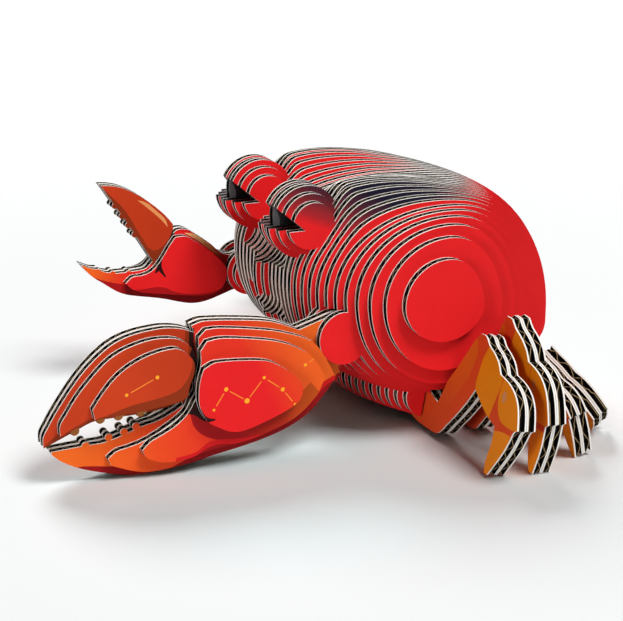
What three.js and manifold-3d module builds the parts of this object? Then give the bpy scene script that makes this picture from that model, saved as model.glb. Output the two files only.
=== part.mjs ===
// Cardboard crab: 37 upright body slices, one large and one small claw, and
// eight legs, all cut from the same board and glued face to face.
// Frame: face towards -Y, the crab's left towards +X, +Z up, millimetres.
// Outlines are drawn in (y, z), with z above the ground and x = 0 in the
// middle slice. The last lines move the origin to the middle of the footprint.
import * as THREE from "three";
import { mergeVertices } from "three/addons/utils/BufferGeometryUtils.js";
import Module from "manifold-3d";

const wasm = await Module();
wasm.setup();

// Board and body
const BOARD = 1.6;
const SLICES = 37;
const MIDDLE = (SLICES + 1) / 2;
const CAP = MIDDLE * BOARD + 0.6;
const FRONT_AT_CAP = 5.3;
const FRONT_REACH = 18.9;
const FACE_Y = -12;
const BEAK = 1.4;
const HALFWAY_AT_CAP = 4.5;
const HALFWAY_REACH = 7.5;
const REAR_AT_CAP = 6.3;
const REAR_REACH = 31;
const REAR_CURVE = 1.25;
const REAR_DROP = 12;
const REAR_SQUARENESS = 1.6;
const TOP = 36.9;
const TOP_FALL = 6.6;
const TOP_CURVE = 2.78;
const BOTTOM = 4.6;
const BOTTOM_RISE = 12.6;
const BOTTOM_CURVE = 2.6;
const WAIST = 23.5;
const FRONT_SQUARENESS = 0.3;

// Raised back, with a groove along the middle
const HUMP = 3.9;
const HUMP_SLICE = 7;
const HUMP_SPREAD = 4.2;
const HUMP_SLICES = 12;
const HUMP_START = -8.5;
const HUMP_FULL = -2;
const HUMP_END = 17.8;

// Keel under the body that takes the legs
const KEEL_SLICES = 13;
const KEEL_BOTTOM = 2;
const KEEL_TOP = 12.5;
const KEEL_FRONT = -2;
const KEEL_SWEEP = 0.035;
const KEEL_REAR = 33;
const KEEL_RADIUS = 3.6;

// Eyes: a lower lip and an upper lid with a notch between them, by slices
// from the eye's middle one, which holds the pupil
const EYE_SLICE = 6;
const EYE_INSET = 2.2;
const EYE_Z = 33.7;
const EYE_RADII = [5.6, 5.85, 4.85, 3.7];
const LID_BACK = 0.5;
const LID_SHARE = 0.925;
const NOTCH_REACH = 1;
const NOTCH_Z = 33.1;
const NOTCH_SLOPE = 0.9;
const NOTCH_LENGTH = 11.2;
const PUPIL_REACH = 4.4;

// Mouth: recesses in the front of the middle slices. inset is how far behind
// the face the middle of the recess lies.
const UPPER_MOUTH = { slices: 5, inset: -1, z: 28.2, radius: 3.2, growth: 0.1 };
const LOWER_MOUTH = { slices: 4, inset: 0.5, z: 17.5, radius: 1.8, growth: 0 };

// Shoulders: each arm is two boards wide and sits in a socket of two slices
const SHOULDER_INSET = 1.54;
const SHOULDER_Z = 17.6;
const ARM_RADIUS = 3.7;
const SOCKET_GAP = 0.3;
const SOCKET_SLICES = [13, 12];
const LOBE_RADII = { 14: 4.2, 11: 4.2, 10: 3.4, 9: 2.7 };

// Legs. reach is how far the shin comes out beyond the hip, rise the height of
// the knee and ankle that of the step above the foot, all along the board.
// splay turns the foot out, lean is about the x axis, and foot is the y of the
// front face on the ground.
const LEG_BOARDS = 2;
const LEG_GAP = 0.3;
const ROOT_SLICE = 9;
const ROOT_TOP = 6.6;
const HIP = 4;
const LEG_REACH = 29;
const LEG_RISE = 19.7;
const LEG_ANKLE = 8.6;
const LEGS = [
  { lean: -10, foot: 6.5, reach: 29, rise: 19.7, ankle: 8.6, splay: 0 },
  { lean: -3, foot: 13.4, reach: 27.9, rise: 21.9, ankle: 8.4, splay: 2.4 },
  { lean: 16, foot: 22.9, reach: 22.6, rise: 13.8, ankle: 7.2, splay: 3.2 },
  { lean: 34, foot: 31.3, reach: 16.4, rise: 14.9, ankle: 3.9, splay: -0.8 },
];

const red = 0xe21f22;
const orange = 0xe0602a;
const rust = 0xc8411a;
const ochre = 0xc86e14;

const sq = (x) => x * x;
const ease = (a, b, x) => {
  const t = Math.min(1, Math.max(0, (x - a) / (b - a)));
  return t * t * (3 - 2 * t);
};

// Left (+X) face of slice k, counted from 1 at the +X end
const faceOf = (k) => (MIDDLE - k) * BOARD + BOARD / 2;

// Part of a circle from angle a to angle b, in degrees
function arc(y, z, r, a = 0, b = 360, step = 15) {
  const pieces = Math.round(Math.abs(b - a) / step);
  const points = [];
  for (let i = 0; i <= pieces; i++) {
    const t = ((a + ((b - a) * i) / pieces) * Math.PI) / 180;
    points.push([y + r * Math.cos(t), z + r * Math.sin(t)]);
  }
  return b - a === 360 ? points.slice(0, -1) : points;
}

const box = (y0, z0, y1, z1) => [
  [y0, z0],
  [y1, z0],
  [y1, z1],
  [y0, z1],
];

// A closed outline from runs of points: each run is drawn as a smooth curve,
// and runs meet in corners. step is the length of one straight piece.
function outline(runs, step = 1.8) {
  const points = [];
  for (const run of runs) {
    const curve = new THREE.SplineCurve(
      run.map(([a, b]) => new THREE.Vector2(a, b)),
    );
    const pieces = run.length < 3 ? 1 : Math.max(2, Math.round(curve.getLength() / step));
    for (const p of curve.getSpacedPoints(pieces)) {
      const last = points[points.length - 1];
      if (!last || Math.hypot(p.x - last[0], p.y - last[1]) > 0.05) {
        points.push([p.x, p.y]);
      }
    }
  }
  const [first, last] = [points[0], points[points.length - 1]];
  if (Math.hypot(first[0] - last[0], first[1] - last[1]) < 0.05) {
    points.pop();
  }
  return points;
}

function extrude(points, depth) {
  const shape = new THREE.Shape(points.map(([a, b]) => new THREE.Vector2(a, b)));
  return new THREE.ExtrudeGeometry(shape, { depth, bevelEnabled: false });
}

// An outline in (y, z) as a prism between x0 and x1
function prism(points, x0, x1) {
  const stand = new THREE.Matrix4().makeBasis(
    new THREE.Vector3(0, 1, 0),
    new THREE.Vector3(0, 0, 1),
    new THREE.Vector3(1, 0, 0),
  );
  stand.setPosition(x0, 0, 0);
  return extrude(points, x1 - x0).applyMatrix4(stand);
}

function solidOf(geometry) {
  geometry.deleteAttribute("normal");
  geometry.deleteAttribute("uv");
  const { attributes, index } = mergeVertices(geometry, 1e-4);
  return new wasm.Manifold(
    new wasm.Mesh({
      numProp: 3,
      vertProperties: attributes.position.array,
      triVerts: new Uint32Array(index.array),
    }),
  );
}

function geometryOf(solid) {
  const { vertProperties, triVerts } = solid.getMesh();
  const g = new THREE.BufferGeometry();
  g.setAttribute("position", new THREE.BufferAttribute(vertProperties, 3));
  g.setIndex(new THREE.BufferAttribute(triVerts, 1));
  const flat = g.toNonIndexed();
  flat.computeVertexNormals();
  return flat;
}

function mesh(name, geometry, color) {
  const m = new THREE.Mesh(
    geometry,
    new THREE.MeshStandardMaterial({ color, roughness: 0.6 }),
  );
  m.name = name;
  return m;
}

// A board in a plane of constant x, between x0 and x1. It starts as the first
// outline; each step then adds an outline or cuts one away.
function board(name, x0, x1, color, first, steps = []) {
  let solid = solidOf(prism(first, x0, x1));
  for (const { add, cut } of steps) {
    if (add) {
      solid = solid.add(solidOf(prism(add, x0, x1)));
    } else {
      solid = solid.subtract(solidOf(prism(cut, x0 - 1, x1 + 1)));
    }
  }
  const tidy = solid.asOriginal().simplify(0.02);
  return mesh(name, geometryOf(tidy), color);
}

// Body slice, d slices from the middle one
function widthShare(d) {
  return Math.sqrt(1 - sq((d * BOARD + BOARD / 2) / CAP));
}

function frontOf(d) {
  const beak = d < 2 ? BEAK * (1 - d / 2) : 0;
  return Math.max(FRONT_AT_CAP - FRONT_REACH * widthShare(d), FACE_Y) - beak;
}

// Eyes and arms keep their place on the front of the body
const EYE_Y = frontOf(EYE_SLICE) + EYE_INSET;
const NOTCH_Y = EYE_Y - NOTCH_REACH;
const SHOULDER_Y = frontOf(SOCKET_SLICES[1]) + SHOULDER_INSET;

function crest(d, y) {
  const share = d > HUMP_SLICES ? 0 : Math.exp(-sq((d - HUMP_SLICE) / HUMP_SPREAD));
  const fall = Math.max(0, (HUMP_END - y) / (HUMP_END + 1));
  return HUMP * share * fall * ease(HUMP_START, HUMP_FULL, y);
}

function oval(d, n = 46) {
  const u = widthShare(d);
  const edge = (1 - u) / (1 - widthShare(MIDDLE - 1));
  const middleY = HALFWAY_AT_CAP + HALFWAY_REACH * u;
  const front = middleY - frontOf(d);
  const rear = REAR_AT_CAP + REAR_REACH * u ** REAR_CURVE - middleY;
  const top = TOP - TOP_FALL * edge ** TOP_CURVE - WAIST;
  const bottom = BOTTOM + BOTTOM_RISE * edge ** BOTTOM_CURVE;
  const drop = REAR_DROP * sq(u);
  const powerOf = (squareness) => 2 / (2 + squareness * u ** 4);
  const frontPower = powerOf(FRONT_SQUARENESS);
  const rearPower = powerOf(REAR_SQUARENESS);
  const points = [];
  for (let i = 0; i < n; i++) {
    const a = (2 * Math.PI * i) / n;
    const c = Math.cos(a);
    const s = Math.sin(a);
    const power = c > 0 ? rearPower : frontPower;
    const along = Math.sign(c) * Math.abs(c) ** power;
    const up = Math.abs(s) ** power;
    const y = middleY + along * (c > 0 ? rear : front);
    const level = WAIST - drop * Math.max(0, along) ** 3;
    const z = s > 0 ? level + top * up + crest(d, y) : level - (level - bottom) * up;
    points.push([y, z]);
  }
  return points;
}

// Two rounded ends on the ground side, and open to the body above
function keel(d) {
  const front = KEEL_FRONT + KEEL_SWEEP * d * d;
  const r = KEEL_RADIUS;
  const rise = KEEL_BOTTOM + r;
  return [
    ...arc(front + r, rise, r, 90, 270, 20),
    ...arc(KEEL_REAR - r, rise, r, 270, 450, 20),
    [KEEL_REAR - 2 * r, rise + r],
    [KEEL_REAR - 2 * r, KEEL_TOP],
    [front + r, KEEL_TOP],
  ];
}

// The notch between lip and lid, from its inner end out past the eye
function notch(from) {
  const end = NOTCH_Y - NOTCH_LENGTH;
  const lidAt = (y) => [y, NOTCH_Z + NOTCH_SLOPE * (NOTCH_Y - y)];
  return [[from, NOTCH_Z], lidAt(from), lidAt(end), [end, NOTCH_Z]];
}

function eyeSteps(e) {
  const r = EYE_RADII[e];
  const inner = e === 0 ? EYE_Y - PUPIL_REACH : NOTCH_Y - 0.05;
  return [
    { add: arc(EYE_Y, EYE_Z, r, 180, 360, 13) },
    { add: arc(EYE_Y + LID_BACK, EYE_Z + 0.3, r * LID_SHARE, 0, 360, 13) },
    { cut: notch(inner) },
  ];
}

function mouthSteps(d) {
  const recesses = [UPPER_MOUTH, LOWER_MOUTH].filter((m) => d <= m.slices);
  return recesses.map((m) => {
    const r = m.radius + m.growth * (m.slices - d);
    return { cut: arc(frontOf(m.slices) + m.inset, m.z, r, 0, 360, 20) };
  });
}

function shoulderSteps(d) {
  if (LOBE_RADII[d]) {
    return [{ add: arc(SHOULDER_Y, SHOULDER_Z, LOBE_RADII[d], 0, 360, 13) }];
  }
  if (!SOCKET_SLICES.includes(d)) return [];
  const r = ARM_RADIUS + SOCKET_GAP;
  const [y, z] = [SHOULDER_Y, SHOULDER_Z];
  const open = frontOf(d) - r;
  return [
    { cut: arc(y, z, r, 0, 360, 13) },
    { cut: box(open, z - r, y, z + r) },
    { cut: box(open, z - 3 * r, y + r / 2, z + r) },
  ];
}

function slice(k) {
  const d = Math.abs(MIDDLE - k);
  const e = Math.abs(d - EYE_SLICE);
  const steps = [
    ...(d <= KEEL_SLICES ? [{ add: keel(d) }] : []),
    ...mouthSteps(d),
    ...shoulderSteps(d),
    ...(e < EYE_RADII.length ? eyeSteps(e) : []),
    ...LEGS.map((spec) => slotFor(spec, k)).filter(Boolean),
  ];
  const name = "body_slice_" + String(k).padStart(2, "0");
  return board(name, faceOf(k) - BOARD, faceOf(k), red, oval(d), steps);
}

// Leg seen from the front: x outwards from the hip, z up the board. The
// numbers are those of a leg with the full reach, rise and ankle. The root is
// the square tongue on the left, which goes into the body.
function legOutline({ reach, rise, ankle, splay }) {
  const x0 = faceOf(ROOT_SLICE);
  const height = (z) =>
    z < LEG_ANKLE
      ? (z * ankle) / LEG_ANKLE
      : ankle + ((z - LEG_ANKLE) * (rise - ankle)) / (LEG_RISE - LEG_ANKLE);
  const across = (x) => x0 + HIP + (x * reach) / LEG_REACH;
  const out = (points) => points.map(([x, z]) => [across(x), height(z)]);
  const down = (points) =>
    points.map(([x, z]) => [
      across(x) + splay * (1 - Math.min(1, z / LEG_ANKLE)),
      height(z),
    ]);
  const thigh = out([
    [5.2, 6.4],
    [6.7, 9.6],
    [9, 12.7],
    [12.2, 17.5],
    [13.3, 18.9],
    [14.5, 19.7],
    [15.9, 19.2],
    [16.9, 18.4],
  ]);
  const knee = out([
    [16.9, 18.4],
    [18.7, 17.7],
    [20.1, 16.9],
    [21.1, 16],
    [21.5, 15.3],
  ]);
  const shin = out([
    [21.5, 15.3],
    [23.9, 14.9],
    [26, 14.1],
    [27.6, 12.7],
    [28.5, 10.8],
    [29, 9],
  ]);
  const foot = down([
    [28.2, 8.6],
    [27.6, 7.4],
    [26.8, 5.7],
    [25.6, 3.7],
    [24.2, 1.7],
    [23, 0],
  ]);
  const heel = down([
    [22, 0],
    [21.8, 0.6],
    [22.1, 2.8],
    [22.6, 4.9],
    [22.7, 6.9],
    [22.6, 7.6],
  ]);
  const crook = out([
    [22.6, 7.6],
    [20.3, 8.2],
    [18.6, 8.9],
    [16.7, 10],
    [15.2, 10.9],
  ]);
  const under = out([
    [15.2, 10.9],
    [13.4, 8.3],
    [10.6, 5],
    [8.2, 2.5],
    [6.7, 0.9],
  ]);
  return outline(
    [
      [
        [x0, 0.9],
        [x0, ROOT_TOP],
      ],
      [
        [across(0.6), ROOT_TOP],
        [across(3.2), ROOT_TOP - 1],
        [across(4.7), ROOT_TOP - 1.3],
      ],
      thigh,
      knee,
      shin,
      foot,
      heel,
      crook,
      [...under, [across(4.7), 0.4], [across(0.7), 0.3], [x0 + 2.5, 0.4], [x0, 0.9]],
    ],
    1.7,
  );
}

function legFrame({ lean, foot }) {
  const a = (lean * Math.PI) / 180;
  const thick = LEG_BOARDS * BOARD;
  const lift = Math.max(0, -thick * Math.sin(a));
  const up = new THREE.Vector3(0, -Math.sin(a), Math.cos(a));
  const out = new THREE.Vector3(0, Math.cos(a), Math.sin(a));
  const at = new THREE.Vector3(0, foot, lift);
  return { up, out, at, thick };
}

function leg(name, spec, side) {
  const { up, out, at, thick } = legFrame(spec);
  const points = legOutline(spec).map(([x, z]) => [side * x, z]);
  const turn = new THREE.Matrix4().makeBasis(
    new THREE.Vector3(1, 0, 0),
    up,
    out.clone().negate(),
  );
  turn.setPosition(at.clone().addScaledVector(out, thick));
  return mesh(name, extrude(points, thick).applyMatrix4(turn), ochre);
}

// Lowest and highest point of an outline between two x values
function spanOf(points, x0, x1) {
  const heights = [];
  points.forEach(([ax, az], i) => {
    const [bx, bz] = points[(i + 1) % points.length];
    if (ax >= x0 && ax <= x1) heights.push(az);
    for (const x of [x0, x1]) {
      const share = (x - ax) / (bx - ax);
      if (share > 0 && share < 1) heights.push(az + (bz - az) * share);
    }
  });
  return heights.length ? [Math.min(...heights), Math.max(...heights)] : null;
}

// The slot that a leg needs in slice k, open at the bottom
function slotFor(spec, k) {
  const x1 = faceOf(Math.min(k, SLICES + 1 - k));
  const span = spanOf(legOutline(spec), x1 - BOARD, x1);
  if (!span) return null;
  const { up, out, at, thick } = legFrame(spec);
  const corner = (through, along) => [
    at.y + out.y * through + up.y * along,
    at.z + out.z * through + up.z * along,
  ];
  const low = span[0] - 3;
  const high = span[1] + LEG_GAP;
  const back = thick + LEG_GAP;
  const corners = [
    corner(-LEG_GAP, low),
    corner(back, low),
    corner(back, high),
    corner(-LEG_GAP, high),
  ];
  return { cut: corners };
}

// Both claws are drawn from the middle of the shoulder
const fromShoulder = ([y, z]) => [SHOULDER_Y + y, SHOULDER_Z + z];

const clawOutline = (runs, step) => outline(runs, step).map(fromShoulder);

const tooth = (y, z, r) => ({ add: arc(y, z, r, 0, 360, 36).map(fromShoulder) });

// The end of each arm that fills its socket
const SHOULDER_END = [
  [-3.6, 2.8],
  [0.2, 3.6],
  [3.4, 1.6],
  [3.7, 0],
  [2.8, -2.4],
  [0, -3.6],
];

// Large claw, in the planes of slices 6 and 7
const BIG_CLAW_SLICE = 6;

const bigClawOutline = () =>
  clawOutline(
    [
      [
        [-47.8, -11.3],
        [-48, -10.3],
        [-47.1, -8.4],
        [-45.3, -5.5],
        [-42.4, -1.6],
        [-39.8, 1.1],
        [-36.8, 3.3],
        [-33.7, 4.4],
        [-30.5, 4.8],
        [-28, 4.8],
        [-25.3, 4.2],
        [-24, 3.6],
      ],
      [
        [-24.4, 4.7],
        [-23.3, 5.1],
        [-21.4, 5.1],
        [-17.6, 4.7],
        [-11.6, 3.7],
        [-7, 1.8],
      ],
      [...SHOULDER_END, [-0.4, -5]],
      [
        [0, -6.3],
        [-0.6, -7.2],
      ],
      [
        [-3.5, -8],
        [-5.2, -10.2],
        [-9.4, -12.9],
        [-14.5, -14.5],
        [-19.5, -15.4],
        [-24.5, -16.6],
        [-29.5, -17.5],
        [-34.4, -17.6],
        [-39.1, -16.5],
        [-42.9, -15.1],
        [-45.6, -13.5],
        [-46.7, -12.4],
      ],
      [
        [-46.6, -12.1],
        [-44.3, -12],
        [-41.8, -11.9],
        [-38.4, -11.8],
        [-35.9, -11.2],
        [-32.8, -10.2],
        [-30.3, -9.7],
        [-27.8, -8.7],
        [-26, -7.7],
      ],
      [
        [-26.2, -7],
        [-30.2, -7.9],
        [-34.7, -8.1],
        [-39.8, -8.2],
        [-42.6, -9.2],
        [-45.8, -10.5],
        [-47.8, -11.3],
      ],
    ],
    1.7,
  );

const bigClawTeeth = () => [
  tooth(-41.4, -11.9, 0.6),
  tooth(-37.8, -11.1, 0.6),
  tooth(-35.4, -10.6, 0.6),
  tooth(-33.5, -10, 0.6),
  tooth(-43, -9.3, 0.75),
  tooth(-39, -8, 0.75),
  tooth(-36.2, -7.9, 0.75),
  tooth(-32.8, -7.8, 0.75),
];

const dactylOuter = () =>
  clawOutline([
    [
      [-45.6, -9.2],
      [-45.9, -8.3],
      [-44.8, -6.3],
      [-42, -2.4],
      [-37.4, 1.9],
      [-32.3, 3.7],
      [-28.2, 3.7],
      [-26, 2.8],
      [-24.7, 1.3],
    ],
    [
      [-24.4, -0.6],
      [-25.6, -3],
      [-25.8, -5.4],
    ],
    [
      [-26.6, -6.2],
      [-32.2, -6.8],
      [-39.8, -7.4],
      [-45.6, -9.2],
    ],
  ]);

const dactylInner = () =>
  clawOutline([
    [
      [-40.7, -6.8],
      [-41.2, -6],
      [-40.6, -4.5],
      [-37.1, -0.5],
      [-32.9, 1.8],
      [-28.5, 2.6],
      [-26.6, 1.8],
      [-25.4, 0.4],
      [-25, -1],
      [-25.8, -3],
      [-26.3, -5.2],
    ],
    [
      [-27.2, -5.7],
      [-32.6, -6.4],
      [-40.7, -6.8],
    ],
  ]);

const palmOuter = () =>
  clawOutline([
    [
      [-23.7, -0.4],
      [-23.9, 2.6],
      [-23.7, 3.8],
      [-22.9, 4.3],
      [-20.5, 4.3],
      [-14.9, 3.4],
      [-10, 2.2],
      [-5.2, 0],
      [-2.4, -4.3],
      [-1.6, -6.2],
    ],
    [
      [-2.8, -7.8],
      [-5.8, -11],
      [-9.7, -13.2],
      [-15, -14.7],
      [-21, -15.7],
      [-27, -16.7],
      [-33, -16.8],
      [-38, -15],
    ],
    [
      [-38.5, -13.9],
      [-37.8, -13.1],
      [-32.8, -11.9],
      [-28.2, -9.6],
      [-26.1, -7.9],
    ],
    [
      [-25.4, -6.4],
      [-24.3, -4.6],
      [-24.6, -3.4],
      [-23.7, -0.4],
    ],
  ]);

const palmMiddle = () =>
  clawOutline([
    [
      [-24.1, -0.2],
      [-24.1, 1.9],
      [-23.4, 2.9],
      [-20.8, 3.2],
      [-15.6, 2.4],
      [-10.6, 1.1],
      [-6.3, -1.5],
      [-4, -5.2],
    ],
    [
      [-5.3, -7.8],
      [-9, -11.1],
      [-15.7, -13.4],
      [-23, -14.3],
      [-27, -15.2],
      [-30.8, -15],
      [-33.1, -13.8],
    ],
    [
      [-33.6, -12.7],
      [-32.8, -11.8],
      [-28.8, -9.9],
      [-26.6, -8.2],
      [-25.4, -6.4],
    ],
    [
      [-24.5, -4.6],
      [-24.7, -3.2],
      [-24.1, -0.2],
    ],
  ]);

const palmInner = () =>
  clawOutline([
    [
      [-23.5, -9.3],
      [-24.8, -7.2],
      [-25.1, -4.8],
      [-24.7, -1.9],
      [-23.8, -0.3],
      [-21.1, 0.1],
      [-15.3, -0.5],
      [-12.9, -1.3],
      [-10.3, -3.2],
      [-8.3, -5.7],
      [-9.6, -8.3],
      [-15.3, -10.6],
      [-19.6, -11.3],
      [-23.5, -9.3],
    ],
  ]);

// Small claw, in the planes of slices 31 and 32
const SMALL_CLAW_SLICE = 31;

const smallClawOutline = () =>
  clawOutline(
    [
      [
        [-25.8, 17.2],
        [-23.5, 16.9],
        [-21.1, 16],
        [-18.4, 14.3],
        [-16.1, 12.4],
        [-14.5, 10.8],
        [-13.3, 9.2],
        [-13.4, 7.7],
      ],
      [
        [-12.7, 8.2],
        [-11.8, 8.4],
        [-10.2, 7.7],
        [-6.8, 5.3],
        ...SHOULDER_END,
        [-2.4, -3.4],
        [-3.8, -3.8],
        [-6.1, -4.5],
        [-8.3, -5],
        [-11, -4.9],
        [-15.8, -3.5],
        [-21.6, -2.2],
        [-23.8, -1.2],
        [-25.7, 0.2],
        [-28, 1.9],
        [-29.7, 4],
      ],
      [
        [-28.7, 3.6],
        [-28.1, 3.5],
        [-26.5, 2.7],
        [-24.8, 2],
        [-23.2, 1.8],
        [-19.5, 1.9],
        [-17.6, 2.4],
        [-17.1, 3.3],
      ],
      [
        [-18.3, 5.3],
        [-20.9, 9.6],
        [-23.6, 13.8],
        [-25.8, 17.2],
      ],
    ],
    1.7,
  );

const smallClawTeeth = () => [
  ...[0.3, 0.45, 0.59, 0.73].map((t) => tooth(-25.8 + 7.7 * t, 17.2 - 12.3 * t, 0.5)),
  ...[-26.8, -24.2, -21.4].map((y) => tooth(y, 1.6 + 0.03 * sq(y + 21.4), 0.5)),
];

const smallPalmOutline = () =>
  clawOutline([
    [
      [-21.2, -0.9],
      [-22.5, 0.4],
      [-22.2, 1],
      [-21.3, 1.3],
      [-18.6, 1.6],
      [-16.9, 2.8],
      [-15.8, 4.2],
      [-14.6, 6],
      [-13.4, 7.5],
      [-12.2, 7.6],
      [-9.1, 5.8],
      [-5.8, 2.9],
      [-4.7, 1.4],
      [-4.3, -0.3],
      [-5.6, -2.7],
      [-8.4, -3.4],
      [-14.5, -2.5],
      [-19.4, -1.6],
      [-21.2, -0.9],
    ],
  ]);

// One board per layer; layers count outwards from the claw's middle boards
const BIG_LAYERS = [
  { name: "dactyl_layer_1", outlineOf: dactylOuter, layer: 1, color: rust },
  { name: "dactyl_layer_2", outlineOf: dactylInner, layer: 2, color: rust },
  { name: "palm_layer_1", outlineOf: palmOuter, layer: 1, color: orange },
  { name: "palm_layer_2", outlineOf: palmMiddle, layer: 2, color: orange },
  { name: "palm_layer_3", outlineOf: palmInner, layer: 3, color: red },
];

function bigClaw() {
  const x = faceOf(BIG_CLAW_SLICE);
  const boards = [
    ["board_near", x - BOARD],
    ["board_far", x - 2 * BOARD],
  ].map(([name, x0]) =>
    board("big_claw_" + name, x0, x0 + BOARD, orange, bigClawOutline(), bigClawTeeth()),
  );
  const layers = BIG_LAYERS.flatMap(({ name, outlineOf, layer, color }) => {
    const near = x + (layer - 1) * BOARD;
    const far = x - (layer + 2) * BOARD;
    return [
      board("big_claw_" + name + "_near", near, near + BOARD, color, outlineOf()),
      board("big_claw_" + name + "_far", far, far + BOARD, color, outlineOf()),
    ];
  });
  return [...boards, ...layers];
}

function smallClaw() {
  const x = faceOf(SMALL_CLAW_SLICE);
  const back = x - 2 * BOARD;
  const palm = smallPalmOutline();
  return [
    board("small_claw_boards", back, x, rust, smallClawOutline(), smallClawTeeth()),
    board("small_claw_palm_near", x, x + BOARD, red, palm),
    board("small_claw_palm_far", back - BOARD, back, red, palm),
  ];
}

const group = new THREE.Group();
group.name = "crab_model";
for (let k = 1; k <= SLICES; k++) {
  group.add(slice(k));
}
LEGS.forEach((spec, i) => {
  group.add(leg("leg_left_" + (i + 1), spec, 1));
  group.add(leg("leg_right_" + (i + 1), spec, -1));
});
group.add(...bigClaw(), ...smallClaw());

// Origin at the middle of the bounding box, on the ground
const bounds = new THREE.Box3().setFromObject(group);
const centre = bounds.getCenter(new THREE.Vector3());
for (const child of group.children) {
  child.geometry.translate(-centre.x, -centre.y, -bounds.min.z);
}

export default group;
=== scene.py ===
"""Looks of the cardboard crab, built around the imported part.

Each board of the part becomes corrugated card: two paper liners, printed on
the outside, and a fluted sheet between them, all cut to the board's outline,
which is read from the frame. Sizes, outlines and artwork are in millimetres,
and MM turns them into Blender's metres. Only the lamps and the floor's reach
are written in metres.
"""

import math

import bpy
import numpy as np
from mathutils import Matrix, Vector
from mathutils.geometry import delaunay_2d_cdt


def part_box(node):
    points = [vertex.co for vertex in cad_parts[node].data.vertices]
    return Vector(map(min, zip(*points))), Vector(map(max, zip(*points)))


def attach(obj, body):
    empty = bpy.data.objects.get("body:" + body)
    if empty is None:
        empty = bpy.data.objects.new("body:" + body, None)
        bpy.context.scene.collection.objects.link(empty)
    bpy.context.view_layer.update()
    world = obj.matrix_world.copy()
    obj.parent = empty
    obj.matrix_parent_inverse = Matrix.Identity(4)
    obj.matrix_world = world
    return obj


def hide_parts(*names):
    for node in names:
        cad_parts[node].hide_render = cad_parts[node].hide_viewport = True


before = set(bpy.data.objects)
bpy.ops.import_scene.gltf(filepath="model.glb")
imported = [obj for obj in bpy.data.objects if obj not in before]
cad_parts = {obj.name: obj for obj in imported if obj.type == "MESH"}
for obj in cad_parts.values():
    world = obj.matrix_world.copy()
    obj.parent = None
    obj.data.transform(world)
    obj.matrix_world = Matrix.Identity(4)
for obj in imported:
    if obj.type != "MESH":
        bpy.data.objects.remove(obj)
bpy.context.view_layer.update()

MM = 0.001

# A board, its liners, and the gap that is left at each of its faces
BOARD = 1.6
LINER = 0.3
SEAM = 0.04

# The fluted sheet: its thickness, a flute from crest to crest, its four folds to
# a flute, its lean, and how far it stays inside the outline
SHEET = 0.14
FLUTE = 1.75
FOLD = FLUTE / 4
FLUTE_LEAN = math.radians(12)
FLUTE_INSET = 0.08

# A board prints on the side that faces left, or forwards where it leans
FACES_LEFT = 0.9
FACES_FORWARD = -0.4

# Reading an outline: how close to the printed side a face lies, the grid steps
# to a millimetre that points are matched on, and the least area kept
FLAT = 0.02
GRID = 500
SPECK = 0.5

# Smoothing an outline: the least turn that stays a corner, the steps along a
# curve, the edges that stay straight and the least bend that gets a curve
CORNER = math.radians(38)
CURVE_STEP = 0.8
STRAIGHT = 6.0
LEAST_BEND = 0.01

# Where an outline doubles back, a corner's bisector counts as no shorter than this
HAIRPIN = 0.2

# Points closer than this are one to the triangulation
SAME_POINT = 1e-5

# Edges that turn by more than this are shaded sharp
SHARP = math.radians(32)

# Paper: its grains to a metre, how many grains wide its clouds are, the span of
# noise that counts, the spread of its roughness and the depth of its relief
GRAINS = 2600
CLOUD = 12
NOISE_LOW = 0.3
NOISE_HIGH = 0.7
ROUGHNESS_SPREAD = 0.06
RELIEF = 0.02

# Artwork's y is counted from a line that lies BEHIND_TIP behind the tip of the
# large claw, and ART_Y is that line's y in the frame. Its z is the frame's own
BEHIND_TIP = 55.4
ART_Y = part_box("big_claw_board_near")[0].y / MM + BEHIND_TIP

# Print colours, as they look on screen; some also carry painted shade, as noted
RED = (226, 31, 34)
DEEP_RED = (165, 20, 24)
# The lower border's red: print, darkened with painted shade
BORDER_SHADE_RED = (146, 16, 19)
DARK_RED = (118, 10, 13)
# Painted shade: the shade under layer 3 of the large palm, rust at its right end
SHADE_RUST = (172, 40, 22)
CARMINE = (204, 24, 28)
NAVY = (24, 20, 38)
PURPLE = (72, 32, 44)
PLUM = (104, 36, 44)
MAROON = (152, 37, 42)
CRIMSON = (172, 35, 41)
RUST = (198, 62, 26)
RUST_RED = (186, 56, 24)
BROWN = (138, 48, 18)
ORANGE = (236, 104, 32)
ORANGE_RED = (228, 72, 30)
CLAW_RED = (226, 50, 33)
CLAW_ORANGE = (232, 100, 32)
OCHRE = (228, 131, 13)
OCHRE_RED = (188, 80, 22)
OCHRE_RUST = (214, 94, 25)
LEG_RED = (212, 70, 28)
PEACH = (230, 152, 92)
PALE = (246, 186, 124)
TAN = (182, 112, 58)
GOLD = (252, 168, 44)
GOLD_LINE = (244, 140, 50)
# A dark print, which also stands for painted shade where the large claw's board shows between its finger
# and palm layers
HINGE_AND_SHADE = (40, 14, 13)
SHINE = (204, 138, 88)
WHITE = (238, 234, 228)
# Painted shade: the near-black inside of the flutes, on the liners' inner faces and the fluted sheet's
# faces, though that paper is pale
FLUTE_SHADE = (14, 12, 11)
FLUTING = (150, 128, 92)
BLACK = (14, 13, 14)
GREY = (104, 102, 104)


def linear(colour):
    """A colour as it looks on screen, 0 to 255, as the linear RGBA that nodes use."""
    shares = [c / 255 for c in colour]
    channels = [c / 12.92 if c <= 0.04045 else ((c + 0.055) / 1.055) ** 2.4 for c in shares]
    return (*channels, 1.0)


# Materials


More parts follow.
